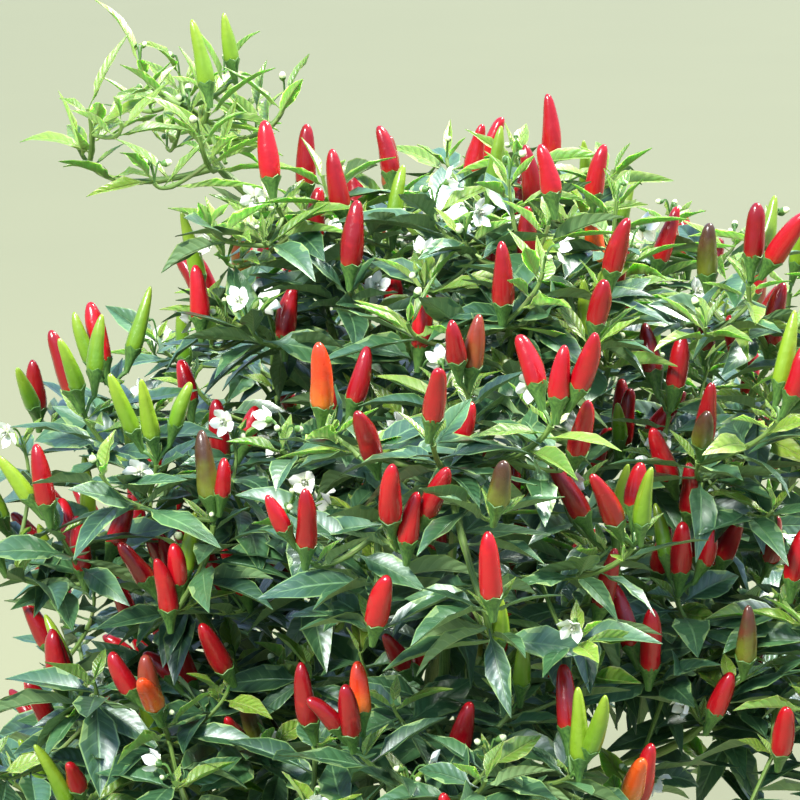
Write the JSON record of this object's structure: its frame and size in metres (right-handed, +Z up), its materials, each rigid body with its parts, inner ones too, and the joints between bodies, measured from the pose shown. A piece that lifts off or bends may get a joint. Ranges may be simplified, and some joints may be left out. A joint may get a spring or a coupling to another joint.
{
  "type": "chilli pepper plant",
  "caption": "Bushy chilli pepper plant rooted by one woody stem, with dark green leaves, upright red and green fruit and small white flowers.",
  "frame": {"origin": "centre of the flat cut under the stem, at ground level", "axes": "+Z up, -Z out of the cut into the ground; the picture looks along +Y with +X to its right"},
  "size_m": [0.5186, 0.5155, 0.6018],
  "materials": {
    "bark": "matt, finely furrowed",
    "green_stem": "matt",
    "foliage": "satin leaf",
    "young_foliage": "satin leaf",
    "red_fruit": "glossy skin",
    "orange_fruit": "glossy skin",
    "green_fruit": "glossy skin",
    "turning_fruit": "glossy skin",
    "calyx": "satin",
    "blossom": "matt petal"
  },
  "bodies": {
    "root": {"stem": "bark", "main_bough_1": "bark", "main_bough_2": "bark", "main_bough_3": "bark", "main_bough_4": "bark", "main_bough_5": "bark", "leader": "bark", "side_bough_1": "green_stem", "side_bough_2": "green_stem", "side_bough_3": "green_stem", "side_bough_4": "green_stem", "side_bough_5": "green_stem", "side_bough_6": "green_stem", "side_bough_7": "green_stem", "side_bough_8": "green_stem", "side_bough_9": "green_stem", "side_bough_10": "green_stem", "side_bough_11": "green_stem", "side_bough_12": "green_stem", "side_bough_13": "green_stem", "side_bough_14": "green_stem", "foliage_skirt_1": "foliage", "foliage_skirt_2": "foliage", "foliage_skirt_3": "foliage", "foliage_skirt_4": "foliage", "foliage_skirt_5": "foliage", "foliage_skirt_6": "foliage", "foliage_shoulder_1": "foliage", "foliage_shoulder_2": "foliage", "foliage_shoulder_3": "foliage", "foliage_shoulder_4": "foliage", "foliage_shoulder_5": "foliage", "foliage_crest_1": "foliage", "foliage_crest_2": "foliage", "foliage_crest_3": "foliage", "foliage_leaning_shoot": "foliage"}
  },
  "joints": []
}
